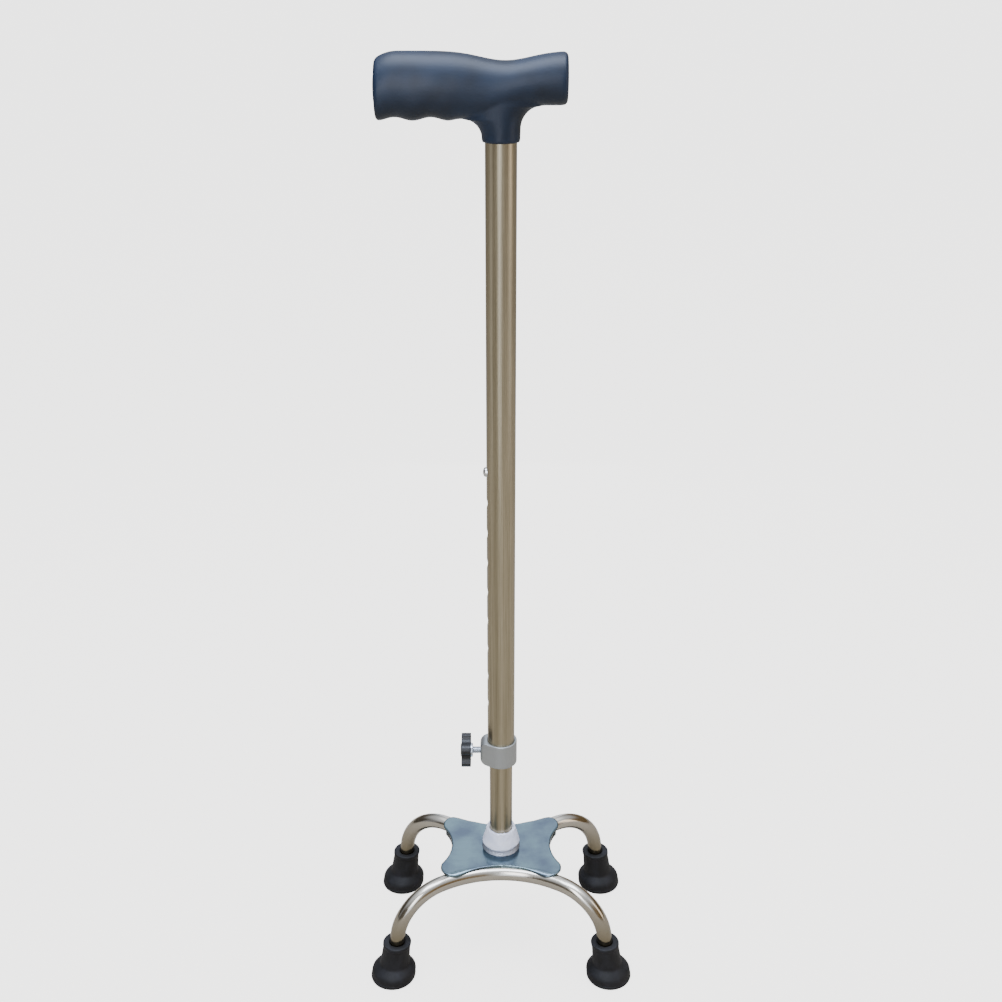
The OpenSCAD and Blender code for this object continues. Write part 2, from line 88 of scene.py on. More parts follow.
class CaneSizes(bpy.types.PropertyGroup):
    """Sizes that the CAD frame doesn't hold, in metres and radians."""

    hole_count: IntProperty(
        name="Height holes", description="Number of height holes", default=9, min=2)
    hole_radius: length_property("Hole radius", "Radius of a height hole", 4.3)
    tube_wall: length_property("Tube wall", "Wall of both shaft tubes", 1.2)
    slit_width: length_property("Slit width", "Width of the slit in the outer tube", 1.6)
    slit_show: length_property("Slit above collar", "Length of the slit above the collar", 10)
    thread_pitch: length_property("Thread pitch", "Pitch of the clamp screw", 1)
    leg_radius: length_property("Leg tube radius", "Outer radius of a leg tube", 6.35)
    leg_lean: FloatProperty(
        name="Leg lean", description="Outward lean of the legs", default=math.radians(7),
        subtype="ANGLE")
    leg_splay: FloatProperty(
        name="Leg splay", description="Angle between a leg tube's runs and X",
        default=math.radians(30), subtype="ANGLE")
    leg_show: length_property("Bare leg", "Straight bare leg above a rubber tip", 8)
    leg_straight: length_property("Straight run", "Straight run between bow and knee", 2.5)
    plate_thickness: length_property("Plate thickness", "Thickness of the stamped plate", 2)
    tip_height: length_property("Tip height", "Height of a rubber tip", 36)
    tip_wall: length_property("Tip wall", "Wall of a rubber tip at its neck", 4.6)
    grip_half_width: length_property("Grip half width", "Half the grip's plain width", 15.2)
    grip_low: length_property("Grip underside", "Underside above the stem's foot", 15.2)
    grip_nose_low: length_property("Nose underside", "The same under the nose", 24)
    grip_voxel: length_property("Grip mesh", "Cell of the grip's one skin", 0.7)


def colour_property(label, words, default):
    """A colour kept as the sRGB hex text that a maker would write down."""
    return StringProperty(name=label, description=words, default=default)


class CaneColours(bpy.types.PropertyGroup):
    """Finishes, as sRGB hex values."""

    grip: colour_property("Grip", "Moulded grip, lit side", "#152438")
    grip_deep: colour_property("Grip, deep", "Moulded grip, dark flecks", "#0D1622")
    cap: colour_property("End cap", "Disc in the grip's end", "#10151C")
    # the steel's own grey is real; the khaki tint of both shaft colours is painted reflection of a
    # warm room
    shaft: colour_property("Shaft", "Brushed stainless tube", "#B9AE94")
    shaft_dark: colour_property("Shaft, dark", "Brushed stainless tube, deep lines", "#8B8169")
    collar: colour_property("Collar", "Tumbled zinc casting", "#A9ACAB")
    knob: colour_property("Knob", "Black nylon knob", "#0E0E11")
    zinc: colour_property("Zinc plating", "Bright zinc on screw and insert", "#CBD0D6")
    nylon: colour_property("Nylon", "Natural nylon bush and pad", "#E3DFD2")
    spring: colour_property("Spring steel", "Leaf spring", "#7E8388")
    nickel: colour_property("Nickel plating", "Snap button", "#D8D6D2")
    socket: colour_property("Socket", "Galvanised ferrule", "#F3F5FF")
    socket_dark: colour_property("Socket, grey", "Galvanised ferrule, thin places", "#DEE3F5")
    weld: colour_property("Welds", "Plated weld metal", "#A3A8B2")
    plate: colour_property("Plate", "Blue-passivated zinc on the base plate", "#5E6A77")
    plate_teal: colour_property("Plate, teal", "Teal tint of the passivation", "#74898F")
    leg: colour_property("Legs", "Chrome plating", "#C3BDB0")
    # painted reflection: the darker khaki of a warm floor mirrored in the chrome near the feet, not
    # a change in the plating
    leg_painted_reflection: colour_property("Legs, warm", "Chrome plating near the feet", "#7D7152")
    rubber: colour_property("Rubber", "Moulded rubber tips", "#0B0B0D")
    rubber_dust: colour_property("Rubber, dusty", "Bloom on the rubber", "#1B1B20")
    floor: colour_property("Floor", "Studio floor", "#A0988B")


def linear(text):
    """A hex sRGB colour as linear RGBA."""
    parts = [int(text[i : i + 2], 16) / 255 for i in (1, 3, 5)]
    light = [c / 12.92 if c <= 0.04045 else ((c + 0.055) / 1.055) ** 2.4 for c in parts]
    return (*light, 1.0)


def colour(name):
    """One of the scene's finish colours, linear."""
    return linear(getattr(bpy.context.scene.cane_colours, name))


def sizes():
    """The scene's size settings."""
    return bpy.context.scene.cane_sizes


# ---- materials


def add(tree, kind, inputs=None, stops=None, **settings):
    """Adds a node with its settings. An input is a value or the output socket that feeds it."""
    node = tree.nodes.new(kind)
    for name, value in settings.items():
        setattr(node, name, value)
    for name, value in (inputs or {}).items():
        if isinstance(value, bpy.types.NodeSocket):
            tree.links.new(value, node.inputs[name])
        else:
            node.inputs[name].default_value = value
    for number, (place, shade) in enumerate(stops or []):
        elements = node.color_ramp.elements
        element = elements[number] if number < len(elements) else elements.new(place)
        element.position = place
        element.color = shade
    return node


def new_material(name):
    """Returns a new material, its node tree and its object coordinates."""
    material = bpy.data.materials.get(name) or bpy.data.materials.new(name)
    material.use_nodes = True
    tree = material.node_tree
    tree.nodes.clear()
    return material, tree, add(tree, "ShaderNodeTexCoord").outputs["Object"]


def satin_grip_plastic():
    """Spark-eroded ABS: a fine matt grain, so highlights are broad and soft."""
    material, tree, coords = new_material("satin_grip_plastic")
    fine = add(tree, "ShaderNodeTexNoise", {
        "Vector": coords, "Scale": 1 / (0.45 * MM), "Detail": 4.0}).outputs["Fac"]
    cloudy = add(tree, "ShaderNodeTexNoise", {
        "Vector": coords, "Scale": 1 / (30 * MM), "Detail": 2.0}).outputs["Fac"]
    tone = add(tree, "ShaderNodeValToRGB", {"Fac": cloudy},
               [(0.3, colour("grip_deep")), (0.62, colour("grip"))])
    gloss = add(tree, "ShaderNodeMapRange", {"Value": fine, "To Min": 0.33, "To Max": 0.5})
    bump = add(tree, "ShaderNodeBump", {"Height": fine, "Strength": 0.35, "Distance": 0.06 * MM})
    shader = add(tree, "ShaderNodeBsdfPrincipled", {
        "Base Color": tone.outputs["Color"], "Roughness": gloss.outputs["Result"], "IOR": 1.53,
        "Specular IOR Level": 0.35, "Normal": bump.outputs["Normal"]})
    add(tree, "ShaderNodeOutputMaterial", {"Surface": shader.outputs["BSDF"]})
    return material


def gloss_cap_plastic():
    """Polished ABS disc: smooth, with a faint moulding swirl."""
    material, tree, coords = new_material("gloss_cap_plastic")
    soft = add(tree, "ShaderNodeTexNoise", {
        "Vector": coords, "Scale": 1 / (6 * MM), "Detail": 2.0}).outputs["Fac"]
    gloss = add(tree, "ShaderNodeMapRange", {"Value": soft, "To Min": 0.18, "To Max": 0.3})
    bump = add(tree, "ShaderNodeBump", {"Height": soft, "Strength": 0.1, "Distance": 0.05 * MM})
    shader = add(tree, "ShaderNodeBsdfPrincipled", {
        "Base Color": colour("cap"), "Roughness": gloss.outputs["Result"], "IOR": 1.53,
        "Normal": bump.outputs["Normal"]})
    add(tree, "ShaderNodeOutputMaterial", {"Surface": shader.outputs["BSDF"]})
    return material


def brushed_stainless():
    """Drawn and belt-brushed stainless tube: fine lines run along its length.

    Real lines are about 0.05 mm apart, and are drawn at 0.4 mm so that they show.
    """
    material, tree, coords = new_material("brushed_stainless")
    drawn = add(tree, "ShaderNodeMapping", {
        "Vector": coords, "Scale": (1, 1, 0.006)}).outputs["Vector"]
    lines = add(tree, "ShaderNodeTexNoise", {
        "Vector": drawn, "Scale": 1 / (0.4 * MM), "Detail": 4.0, "Roughness": 0.65}).outputs["Fac"]
    bands = add(tree, "ShaderNodeTexNoise", {
        "Vector": drawn, "Scale": 1 / (5 * MM), "Detail": 2.0}).outputs["Fac"]
    both = add(tree, "ShaderNodeMath", {0: lines, 1: bands}, operation="MULTIPLY")
    # the random dark lines are real; the khaki tint of both colours is painted reflection of a warm
    # room over the steel's own grey
    tone = add(tree, "ShaderNodeValToRGB", {"Fac": both.outputs["Value"]},
               [(0.12, colour("shaft_dark")), (0.36, colour("shaft"))])
    gloss = add(tree, "ShaderNodeMapRange", {"Value": lines, "To Min": 0.24, "To Max": 0.38})
    bump = add(tree, "ShaderNodeBump", {"Height": lines, "Strength": 0.25, "Distance": 0.03 * MM})
    shader = add(tree, "ShaderNodeBsdfPrincipled", {
        "Base Color": tone.outputs["Color"], "Metallic": 1.0, "Roughness": gloss.outputs["Result"],
        "Normal": bump.outputs["Normal"]})
    add(tree, "ShaderNodeOutputMaterial", {"Surface": shader.outputs["BSDF"]})
    return material


def tumbled_zinc_casting():
    """Die-cast zinc, tumbled and lacquered: light grey, a soft pebbled skin."""
    material, tree, coords = new_material("tumbled_zinc_casting")
    pebbles = add(tree, "ShaderNodeTexNoise", {
        "Vector": coords, "Scale": 1 / (0.9 * MM), "Detail": 3.0}).outputs["Fac"]
    gloss = add(tree, "ShaderNodeMapRange", {"Value": pebbles, "To Min": 0.34, "To Max": 0.52})
    bump = add(tree, "ShaderNodeBump", {"Height": pebbles, "Strength": 0.3, "Distance": 0.08 * MM})
    shader = add(tree, "ShaderNodeBsdfPrincipled", {
        "Base Color": colour("collar"), "Metallic": 0.85, "Roughness": gloss.outputs["Result"],
        "Coat Weight": 0.2, "Coat Roughness": 0.15, "Normal": bump.outputs["Normal"]})
    add(tree, "ShaderNodeOutputMaterial", {"Surface": shader.outputs["BSDF"]})
    return material


def moulded_black_nylon():
    """Glass-filled nylon knob: black, with a faint fibre mottling."""
    material, tree, coords = new_material("moulded_black_nylon")
    fibres = add(tree, "ShaderNodeTexNoise", {
        "Vector": coords, "Scale": 1 / (0.7 * MM), "Detail": 4.0}).outputs["Fac"]
    gloss = add(tree, "ShaderNodeMapRange", {"Value": fibres, "To Min": 0.3, "To Max": 0.5})
    bump = add(tree, "ShaderNodeBump", {"Height": fibres, "Strength": 0.3, "Distance": 0.05 * MM})
    shader = add(tree, "ShaderNodeBsdfPrincipled", {
        "Base Color": colour("knob"), "Roughness": gloss.outputs["Result"], "IOR": 1.53,
        "Normal": bump.outputs["Normal"]})
    add(tree, "ShaderNodeOutputMaterial", {"Surface": shader.outputs["BSDF"]})
    return material


def natural_nylon():
    """Turned natural nylon: milky, slightly waxy."""
    material, tree, coords = new_material("natural_nylon")
    cloudy = add(tree, "ShaderNodeTexNoise", {
        "Vector": coords, "Scale": 1 / (3 * MM), "Detail": 3.0}).outputs["Fac"]
    gloss = add(tree, "ShaderNodeMapRange", {"Value": cloudy, "To Min": 0.35, "To Max": 0.5})
    shader = add(tree, "ShaderNodeBsdfPrincipled", {
        "Base Color": colour("nylon"), "Roughness": gloss.outputs["Result"], "IOR": 1.53,
        "Subsurface Weight": 0.1})
    add(tree, "ShaderNodeOutputMaterial", {"Surface": shader.outputs["BSDF"]})
    return material


def plated_metal(name, base, low, high, size):
    """Bright plating over steel: mirror-like, with the base metal's faint waviness."""
    material, tree, coords = new_material(name)
    waves = add(tree, "ShaderNodeTexNoise", {
        "Vector": coords, "Scale": 1 / size, "Detail": 3.0}).outputs["Fac"]
    gloss = add(tree, "ShaderNodeMapRange", {"Value": waves, "To Min": low, "To Max": high})
    bump = add(tree, "ShaderNodeBump", {"Height": waves, "Strength": 0.2, "Distance": 0.03 * MM})
    shader = add(tree, "ShaderNodeBsdfPrincipled", {
        "Base Color": base, "Metallic": 1.0, "Roughness": gloss.outputs["Result"],
        "Normal": bump.outputs["Normal"]})
    add(tree, "ShaderNodeOutputMaterial", {"Surface": shader.outputs["BSDF"]})
    return material


def galvanised_ferrule():
    """Hot-dip galvanised steel: almost white, softly frosted, with small runs."""
    material, tree, coords = new_material("galvanised_ferrule")
    frost = add(tree, "ShaderNodeTexNoise", {
        "Vector": coords, "Scale": 1 / (1.1 * MM), "Detail": 5.0, "Roughness": 0.6}).outputs["Fac"]
    cloudy = add(tree, "ShaderNodeTexNoise", {
        "Vector": coords, "Scale": 1 / (7 * MM), "Detail": 2.0}).outputs["Fac"]
    tone = add(tree, "ShaderNodeValToRGB", {"Fac": cloudy},
               [(0.3, colour("socket_dark")), (0.7, colour("socket"))])
    gloss = add(tree, "ShaderNodeMapRange", {"Value": frost, "To Min": 0.34, "To Max": 0.55})
    bump = add(tree, "ShaderNodeBump", {"Height": frost, "Strength": 0.5, "Distance": 0.15 * MM})
    shader = add(tree, "ShaderNodeBsdfPrincipled", {
        "Base Color": tone.outputs["Color"], "Metallic": 0.05, "Roughness": gloss.outputs["Result"],
        "Normal": bump.outputs["Normal"]})
    add(tree, "ShaderNodeOutputMaterial", {"Surface": shader.outputs["BSDF"]})
    return material


def blue_passivated_plate():
    """Stamped steel, zinc plated and blue passivated: a mirror with a blue-grey to teal film."""
    material, tree, coords = new_material("blue_passivated_plate")
    film = add(tree, "ShaderNodeTexNoise", {
        "Vector": coords, "Scale": 1 / (22 * MM), "Detail": 3.0}).outputs["Fac"]
    rolled = add(tree, "ShaderNodeMapping", {
        "Vector": coords, "Scale": (0.08, 1, 1)}).outputs["Vector"]
    lines = add(tree, "ShaderNodeTexNoise", {
        "Vector": rolled, "Scale": 1 / (0.8 * MM), "Detail": 3.0}).outputs["Fac"]
    tone = add(tree, "ShaderNodeValToRGB", {"Fac": film},
               [(0.32, colour("plate")), (0.62, colour("plate_teal"))])
    gloss = add(tree, "ShaderNodeMapRange", {"Value": lines, "To Min": 0.12, "To Max": 0.26})
    bump = add(tree, "ShaderNodeBump", {"Height": lines, "Strength": 0.12, "Distance": 0.03 * MM})
    shader = add(tree, "ShaderNodeBsdfPrincipled", {
        "Base Color": tone.outputs["Color"], "Metallic": 1.0, "Roughness": gloss.outputs["Result"],
        "Normal": bump.outputs["Normal"]})
    add(tree, "ShaderNodeOutputMaterial", {"Surface": shader.outputs["BSDF"]})
    return material


def chromed_leg():
    """Chrome over bent tube under clear lacquer: white gloss on top, and towards the feet a painted
    reflection of a warm floor that turns the chrome darker and warmer.
    """
    material, tree, coords = new_material("chromed_leg")
    height = add(tree, "ShaderNodeSeparateXYZ", {"Vector": coords}).outputs["Z"]
    # painted reflection: from 78 mm down to 35 mm the chrome's colour fades to the darker khaki
    # that a warm floor would mirror in it
    warm = add(tree, "ShaderNodeMapRange", {
        "Value": height, "From Min": 35 * MM, "From Max": 78 * MM}).outputs["Result"]
    tone = add(tree, "ShaderNodeValToRGB", {"Fac": warm},
               [(0.0, colour("leg_painted_reflection")), (1.0, colour("leg"))])
    waves = add(tree, "ShaderNodeTexNoise", {
        "Vector": coords, "Scale": 1 / (2.5 * MM), "Detail": 3.0}).outputs["Fac"]
    gloss = add(tree, "ShaderNodeMapRange", {"Value": waves, "To Min": 0.1, "To Max": 0.22})
    bump = add(tree, "ShaderNodeBump", {"Height": waves, "Strength": 0.12, "Distance": 0.03 * MM})
    shader = add(tree, "ShaderNodeBsdfPrincipled", {
        "Base Color": tone.outputs["Color"], "Metallic": 1.0, "Roughness": gloss.outputs["Result"],
        "Coat Weight": 0.5, "Coat Roughness": 0.08, "Normal": bump.outputs["Normal"]})
    add(tree, "ShaderNodeOutputMaterial", {"Surface": shader.outputs["BSDF"]})
    return material


def moulded_rubber():
    """Moulded natural rubber: near black, with a grey bloom and a fine matt skin."""
    material, tree, coords = new_material("moulded_rubber")
    bloom = add(tree, "ShaderNodeTexNoise", {
        "Vector": coords, "Scale": 1 / (9 * MM), "Detail": 4.0}).outputs["Fac"]
    skin = add(tree, "ShaderNodeTexNoise", {
        "Vector": coords, "Scale": 1 / (0.6 * MM), "Detail": 3.0}).outputs["Fac"]
    tone = add(tree, "ShaderNodeValToRGB", {"Fac": bloom},
               [(0.45, colour("rubber")), (0.8, colour("rubber_dust"))])
    gloss = add(tree, "ShaderNodeMapRange", {"Value": skin, "To Min": 0.5, "To Max": 0.72})
    bump = add(tree, "ShaderNodeBump", {"Height": skin, "Strength": 0.4, "Distance": 0.07 * MM})
    shader = add(tree, "ShaderNodeBsdfPrincipled", {
        "Base Color": tone.outputs["Color"], "Roughness": gloss.outputs["Result"], "IOR": 1.52,
        "Specular IOR Level": 0.35, "Normal": bump.outputs["Normal"]})
    add(tree, "ShaderNodeOutputMaterial", {"Surface": shader.outputs["BSDF"]})
    return material


def welded_bead():
    """Plated weld metal: dull silver, pitted."""
    material, tree, coords = new_material("welded_bead")
    pits = add(tree, "ShaderNodeTexNoise", {
        "Vector": coords, "Scale": 1 / (0.8 * MM), "Detail": 4.0}).outputs["Fac"]
    gloss = add(tree, "ShaderNodeMapRange", {"Value": pits, "To Min": 0.3, "To Max": 0.6})
    bump = add(tree, "ShaderNodeBump", {"Height": pits, "Strength": 0.6, "Distance": 0.12 * MM})
    shader = add(tree, "ShaderNodeBsdfPrincipled", {
        "Base Color": colour("weld"), "Metallic": 0.9, "Roughness": gloss.outputs["Result"],
        "Normal": bump.outputs["Normal"]})
    add(tree, "ShaderNodeOutputMaterial", {"Surface": shader.outputs["BSDF"]})
    return material


# ---- modelling helpers


def linked(name, data):
    """A new object in the scene."""
    thing = bpy.data.objects.new(name, data)
    bpy.context.scene.collection.objects.link(thing)
    return thing


def mesh_object(bm, name, material=None):
    """A new object from a bmesh, which is freed."""
    mesh = bpy.data.meshes.new(name)
    bm.to_mesh(mesh)
    bm.free()
    if material:
        mesh.materials.append(material)
    return linked(name, mesh)


def finish_piece(bm, name, body, material, replaces=(), sharp=SHARP):
    """Turns a bmesh into a named piece that rides a body and stands for its CAD nodes."""
    piece = mesh_object(bm, name, material)
    smooth_shading(piece, sharp)
    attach(piece, body)
    if replaces:
        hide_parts(*replaces)
    return piece


def smooth_shading(piece, sharp):
    """Smooth shading, apart from edges sharper than an angle in degrees."""
    piece.data.shade_smooth()
    piece.data.set_sharp_from_angle(angle=math.radians(sharp))


def bake_modifiers(piece):
    """Applies a piece's modifiers to its mesh."""
    bpy.context.view_layer.update()
    evaluated = piece.evaluated_get(bpy.context.evaluated_depsgraph_get())
    mesh = bpy.data.meshes.new_from_object(evaluated)
    piece.modifiers.clear()
    old = piece.data
    piece.data = mesh
    bpy.data.meshes.remove(old)


def lathe(profile, steps=72, closed=False):
    """A profile of (radius, height) points, spun about Z into a closed solid."""
    bm = bmesh.new()
    rim = [bm.verts.new((r, 0, z)) for r, z in profile]
    pairs = list(zip(rim, rim[1:])) + ([(rim[-1], rim[0])] if closed else [])
    edges = [bm.edges.new(pair) for pair in pairs]
    bmesh.ops.spin(bm, geom=rim + edges, cent=(0, 0, 0), axis=(0, 0, 1), angle=2 * math.pi,
                   steps=steps, use_merge=True, use_duplicate=False)
    bmesh.ops.remove_doubles(bm, verts=bm.verts, dist=1e-7)
    bmesh.ops.recalc_face_normals(bm, faces=bm.faces)
    return bm


def along_minus_x(bm, x, z):
    """Lays a shape built along +Z down along -X, from x at height z."""
    turn = Matrix.Translation((x, 0, z)) @ Matrix.Rotation(-math.pi / 2, 4, "Y")
    bmesh.ops.transform(bm, matrix=turn, verts=bm.verts)
    return bm


def joined(parts):
    """One bmesh from several."""
    bm = bmesh.new()
    for part in parts:
        mesh = bpy.data.meshes.new("joining")
        part.to_mesh(mesh)
        part.free()
        bm.from_mesh(mesh)
        bpy.data.meshes.remove(mesh)
    return bm


def cut_away(piece, cutter, sharp=SHARP):
    """Cuts a bmesh out of a piece."""
    tool = mesh_object(cutter, "cutter")
    boolean = piece.modifiers.new("cut", "BOOLEAN")
    boolean.operation = "DIFFERENCE"
    boolean.solver = "EXACT"
    boolean.object = tool
    bake_modifiers(piece)
    bpy.data.objects.remove(tool)
    smooth_shading(piece, sharp)


def melt(piece, voxel, rounds):
    """Runs a piece's solids into one skin with soft edges, as a casting or moulding has."""
    remesh = piece.modifiers.new("one_skin", "REMESH")
    remesh.mode = "VOXEL"
    remesh.voxel_size = voxel
    remesh.use_smooth_shade = True
    soft = piece.modifiers.new("soft_edges", "SMOOTH")
    soft.factor = 0.5
    soft.iterations = rounds
    bake_modifiers(piece)
    smooth_shading(piece, SHARP_MELTED)


def cad_copy(node):
    """A merged bmesh copy of a CAD node's mesh."""
    bm = bmesh.new()
    bm.from_mesh(frame["nodes"][node].data)
    bmesh.ops.remove_doubles(bm, verts=bm.verts, dist=1e-6)
    return bm


# ---- grip


def smooth_step(t):
    """0 to 1 with soft ends."""
    u = min(1, max(0, t))
    return u * u * (3 - 2 * u)


def hump(x, middle, reach):
    """A bell curve of height 1 around middle. All three are lengths."""
    return math.exp(-(((x - middle) / reach) ** 2))


class GripShape:
    """The grip's outline along X: top, underside and half width, from its CAD box."""

    back_round = 3 * MM  # radius of the edge around the disc
    nose_round = 3.5 * MM  # radius of the edge around the nose
    saddle = 6 * MM  # depth of the dip above the stem
    end_drop = 5 * MM  # how far the top falls off at the long end,
    end_drop_run = 16 * MM  # and over what length
    finger_depth = 1.2 * MM  # height of the finger waves,
    finger_pitch = 24.5 * MM  # their spacing,
    finger_place = -47.5 * MM  # and where one of them is
    swell = 1.8 * MM  # extra half width at the palm
    egg = 0.12  # how much narrower the section is above than below

    def __init__(self):
        low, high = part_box("handle_grip")
        self.back, self.nose = low.x, high.x
        self.foot, self.top = low.z, high.z
        self.half_width = sizes().grip_half_width
        self.low, self.nose_low = sizes().grip_low, sizes().grip_nose_low

    def inset(self, x):
        """How far the rounded ends pull the section in."""
        pulls = [0]
        ends = ((x - self.back, self.back_round), (self.nose - x, self.nose_round))
        for distance, radius in ends:
            if distance < radius:
                pulls.append(radius - math.sqrt(max(0, radius**2 - (radius - distance) ** 2)))
        return max(pulls)

    def section(self, x):
        """(half width, middle height, half height) at x."""
        inset = self.inset(x)
        saddle = self.saddle * hump(x, 3 * MM, 24 * MM)
        end = max(0, 1 - (x - self.back) / self.end_drop_run)
        top = self.top - saddle - self.end_drop * end**2 - inset
        wave = math.cos(2 * math.pi * (x - self.finger_place) / self.finger_pitch)
        fingers = self.finger_depth * wave * smooth_step((-x - 24 * MM) / (12 * MM))
        rise = (self.nose_low - self.low) * smooth_step((x + 12 * MM) / (32 * MM))
        low = self.foot + self.low + rise + fingers + inset
        wide = self.half_width + self.swell * hump(x, -45 * MM, 30 * MM) - inset
        return wide, (top + low) / 2, (top - low) / 2


def grip_stations(shape):
    """Places along the grip, close together where its ends are round."""
    ends = [1 - math.sin(math.radians(a)) for a in range(75, 0, -15)]
    back = [shape.back + shape.back_round * e for e in ends]
    nose = [shape.nose - shape.nose_round * e for e in reversed(ends)]
    count = 40
    middle = [back[-1] + (nose[0] - back[-1]) * k / count for k in range(1, count)]
    return back + middle + nose


def extruded(segments, stations, place):
    """A closed skin: a ring extruded to each station. place(angle, station) places its points."""
    bm = bmesh.new()
    turn = bm.verts.layers.float.new("turn")
    verts = bmesh.ops.create_circle(bm, cap_ends=True, segments=segments, radius=1)["verts"]
    for vert in verts:
        vert[turn] = math.atan2(vert.co.y, vert.co.x)
    edges = list({e for v in verts for e in v.link_edges})
    for number, station in enumerate(stations):
        if number:
            new = bmesh.ops.extrude_edge_only(bm, edges=edges)["geom"]
            verts = [g for g in new if isinstance(g, bmesh.types.BMVert)]
            edges = [g for g in new if isinstance(g, bmesh.types.BMEdge)]
        for vert in verts:
            vert.co = place(vert[turn], station)
    bmesh.ops.holes_fill(bm, edges=edges)
    bmesh.ops.recalc_face_normals(bm, faces=bm.faces)
    return bm


def grip_bar(shape):
    """The bar of the grip, egg-shaped across."""

    def place(a, x):
        wide, mid, half = shape.section(x)
        return x, wide * math.cos(a) * (1 - shape.egg * math.sin(a)), mid + half * math.sin(a)

    return extruded(48, [shape.back] + grip_stations(shape) + [shape.nose], place)


def flare(height, low, radius):
    """How far a flare under an edge at height low stands out at a height."""
    rise = max(0, min(radius, height - low + radius))
    return radius - math.sqrt(radius**2 - rise**2)


def grip_stem(shape, tube_radius):
    """The stem: a round that flares front and back as it runs into the bar."""
    wall, taper = 2 * MM, 0.04
    foot_round = 0.7 * MM
    radius = tube_radius + wall
    inside_bar = shape.nose_low + 6 * MM
    heights = [0, 0.25 * MM, foot_round] + [k * 0.8 * MM for k in range(2, 31)] + [inside_bar]

    def place(a, height):
        around = radius + taper * height - foot_round * (1 - smooth_step(height / foot_round))
        to_nose = flare(height, shape.nose_low, 0.6 * shape.nose_low)
        to_back = flare(height, shape.low, 0.8 * shape.low)
        out = around + (to_nose if math.cos(a) > 0 else to_back)
        return out * math.cos(a), around * math.sin(a), shape.foot + height

    return extruded(64, heights, place)


def build_grip():
    """The moulded grip and the disc in its end."""
    shape = GripShape()
    low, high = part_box("outer_tube")
    tube_radius = (high.x - low.x) / 2
    grip = finish_piece(joined([grip_bar(shape), grip_stem(shape, tube_radius)]), "grip", "upper",
                        satin_grip_plastic(), ["handle_grip"])
    melt(grip, sizes().grip_voxel, rounds=10)
    low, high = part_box("handle_end_cap")
    radius = (high.y - low.y) / 2
    mid_z = (low.z + high.z) / 2
    seat_radius, seat_depth = radius + 0.35 * MM, 2 * MM
    seat = lathe([(0, -2 * MM), (seat_radius, -2 * MM), (seat_radius, 2.2 * MM), (0, 2.2 * MM)])
    cut_away(grip, along_minus_x(seat, shape.back + seat_depth, mid_z), SHARP_MELTED)
    cap = lathe([(0, 0), (radius, 0), (radius, 2.1 * MM), (radius - 0.5 * MM, 2.6 * MM),
                 (radius - 2.2 * MM, 2.6 * MM), (radius - 2.6 * MM, 2.3 * MM),
                 (radius - 3.2 * MM, 2.3 * MM), (radius - 3.6 * MM, 2.55 * MM), (0, 2.6 * MM)])
    finish_piece(along_minus_x(cap, high.x, mid_z), "grip_end_disc", "upper",
                 gloss_cap_plastic(), ["handle_end_cap"])


# ---- shaft


def ring_profile(outer, inner, bottom, top, edge):
    """A tube's wall, with its outer edges broken by edge."""
    return [(inner, bottom), (outer - edge, bottom), (outer, bottom + edge), (outer, top - edge),
            (outer - edge, top), (inner, top)]


def drill(radius, x_from, x_to, z):
    """A round cutter along X."""
    bm = lathe([(0, 0), (radius, 0), (radius, x_from - x_to), (0, x_from - x_to)], 48)
    return along_minus_x(bm, x_from, z)


def build_shaft():
    """Both tubes, with their holes and the slit."""
    size = sizes()
    steel = brushed_stainless()
    low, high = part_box("outer_tube")
    outer = (high.x - low.x) / 2
    pitch = joint_range("height_slide") / (size.hole_count - 1)
    button_low, button_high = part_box("snap_button")
    button_z = (button_low.z + button_high.z) / 2
    edge = 0.15 * MM
    tube = finish_piece(
        lathe(ring_profile(outer, outer - size.tube_wall, low.z, high.z, edge), 96, True),
        "outer_shaft", "upper", steel, ["outer_tube"])
    holes = joined([drill(size.hole_radius, -5 * MM, -15 * MM, button_z - k * pitch)
                    for k in range(size.hole_count)])
    cut_away(tube, holes)
    slit_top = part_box("clamp_collar")[1].z + size.slit_show
    slit = bmesh.new()
    slit_place = Matrix.Translation((-12 * MM, 0, (low.z + slit_top) / 2 - 1 * MM))
    slit_size = Matrix.Diagonal((10 * MM, size.slit_width, slit_top - low.z + 2 * MM, 1))
    bmesh.ops.create_cube(slit, size=1, matrix=slit_place @ slit_size)
    cut_away(tube, slit)
    low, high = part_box("inner_tube")
    radius = (high.x - low.x) / 2
    inner = finish_piece(
        lathe(ring_profile(radius, radius - size.tube_wall, low.z, high.z, edge), 96, True),
        "inner_shaft", "base", steel, ["inner_tube"])
    cut_away(inner, drill(size.hole_radius - 0.4 * MM, -4 * MM, -12 * MM, button_z))


def build_button():
    """The domed snap button and its leaf spring."""
    low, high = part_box("snap_button")
    flange = (high.z - low.z) / 2
    radius = flange - 0.9 * MM
    length = high.x - low.x
    dome = [(radius * math.sin(a), length - radius * 0.55 * (1 - math.cos(a)))
            for a in [math.radians(d) for d in range(90, -1, -10)]]
    profile = [(0, 0), (flange, 0), (flange, 1 * MM), (radius, 1 * MM)] + dome
    profile[-1] = (0, length)
    plating = plated_metal("nickel_plated_button", colour("nickel"), 0.12, 0.24, 1.5 * MM)
    dome = along_minus_x(lathe(profile, 48), high.x, (low.z + high.z) / 2)
    finish_piece(dome, "snap_button_dome", "button", plating, ["snap_button"])
    low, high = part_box("button_spring")
    strip = plated_metal("spring_steel_strip", colour("spring"), 0.25, 0.4, 1 * MM)
    spring = mesh_object(cad_copy("button_spring"), "leaf_spring", strip)
    smooth_shading(spring, SHARP)
    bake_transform(spring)
    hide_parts("button_spring")


# ---- clamp


def build_clamp():
    """The cast collar."""
    collar = finish_piece(cad_copy("clamp_collar"), "cast_collar", "upper",
                          tumbled_zinc_casting(), ["clamp_collar"])
    melt(collar, voxel=0.4 * MM, rounds=5)


